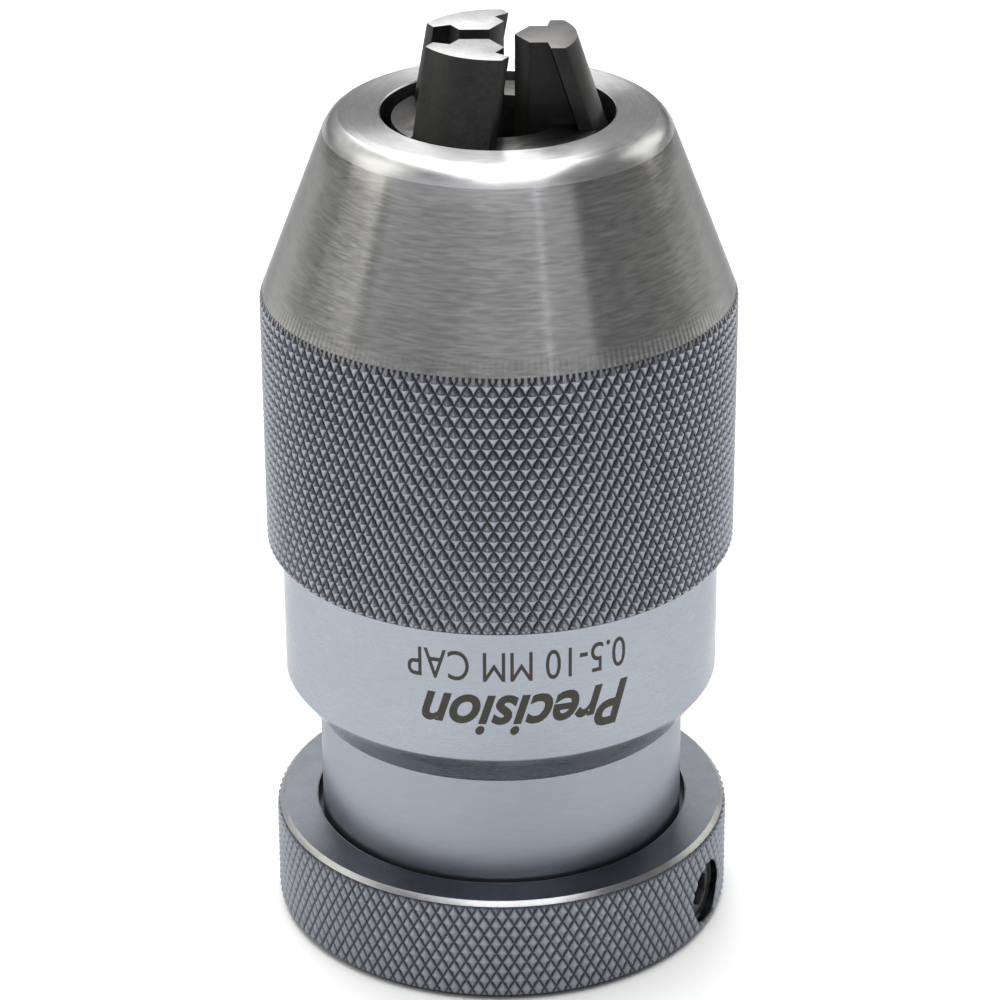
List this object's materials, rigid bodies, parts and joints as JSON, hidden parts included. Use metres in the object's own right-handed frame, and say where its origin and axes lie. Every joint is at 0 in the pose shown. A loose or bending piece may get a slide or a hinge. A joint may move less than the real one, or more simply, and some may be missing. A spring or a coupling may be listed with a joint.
{
  "type": "keyless drill chuck",
  "caption": "Keyless precision drill chuck: knurled hood with a conical nose, stepped jaws, smooth rear band, knurled holding ring and a short taper socket.",
  "frame": {"origin": "on the chuck's axis, at the rear face shared by the holding ring and the chuck body", "axes": "+Z along the spindle axis from the rear taper towards the jaws; +X through the middle of jaw_1"},
  "size_m": [0.043, 0.043, 0.0855],
  "materials": {
    "hood": "turned cone over a dark knurled skirt",
    "sleeve": "fine satin turned",
    "body": "fine satin turned",
    "ring": "dark knurled satin",
    "set_screw": "black oxide",
    "jaw_guide": "turned",
    "jaws": "black oxide with bright ground ends",
    "spindle": "turned, oiled",
    "races": "ground",
    "balls": "polished",
    "cage": "satin"
  },
  "bodies": {
    "chuck_body": {"body": "body", "holding_ring": "ring", "ring_set_screw": "set_screw", "race_upper": "races"},
    "hood_group": {"hood": "hood", "rear_sleeve": "sleeve", "jaw_guide": "jaw_guide", "race_lower": "races"},
    "ball_set": {"ball_cage": "cage", "ball_01": "balls", "ball_02": "balls", "ball_03": "balls", "ball_04": "balls", "ball_05": "balls", "ball_06": "balls", "ball_07": "balls", "ball_08": "balls", "ball_09": "balls", "ball_10": "balls", "ball_11": "balls", "ball_12": "balls", "ball_13": "balls", "ball_14": "balls", "ball_15": "balls", "ball_16": "balls", "ball_17": "balls", "ball_18": "balls", "ball_19": "balls", "ball_20": "balls"},
    "spindle_group": {"spindle": "spindle"},
    "jaw_1_group": {"jaw_1": "jaws"},
    "jaw_2_group": {"jaw_2": "jaws"},
    "jaw_3_group": {"jaw_3": "jaws"}
  },
  "joints": [
    {"name": "hood_spin", "type": "hinge", "parent": "chuck_body", "child": "hood_group", "pos_m": [0, 0, 0], "axis": [0, 0, 1], "range_deg": [-680.4, 1944]},
    {"name": "ball_orbit", "type": "hinge", "parent": "chuck_body", "child": "ball_set", "pos_m": [0, 0, 0], "axis": [0, 0, 1], "range_deg": [-341, 973]},
    {"name": "spindle_slide", "type": "slide", "parent": "hood_group", "child": "spindle_group", "axis": [0, 0, 1], "range_m": [-0.01082, 0.0038]},
    {"name": "jaw_1_slide", "type": "slide", "parent": "hood_group", "child": "jaw_1_group", "axis": [-0.309, 0, 0.9511], "range_m": [-0.01138, 0.004]},
    {"name": "jaw_2_slide", "type": "slide", "parent": "hood_group", "child": "jaw_2_group", "axis": [0.1545, -0.2676, 0.9511], "range_m": [-0.01138, 0.004]},
    {"name": "jaw_3_slide", "type": "slide", "parent": "hood_group", "child": "jaw_3_group", "axis": [0.1545, 0.2676, 0.9511], "range_m": [-0.01138, 0.004]}
  ],
  "couplings": [
    {"joint": "ball_orbit", "follows": "hood_spin", "ratio": 0.5},
    {"joint": "spindle_slide", "follows": "hood_spin", "m_per_rad": -0.00031831},
    {"joint": "jaw_1_slide", "follows": "hood_spin", "m_per_rad": -0.00033469},
    {"joint": "jaw_2_slide", "follows": "hood_spin", "m_per_rad": -0.00033469},
    {"joint": "jaw_3_slide", "follows": "hood_spin", "m_per_rad": -0.00033469}
  ]
}
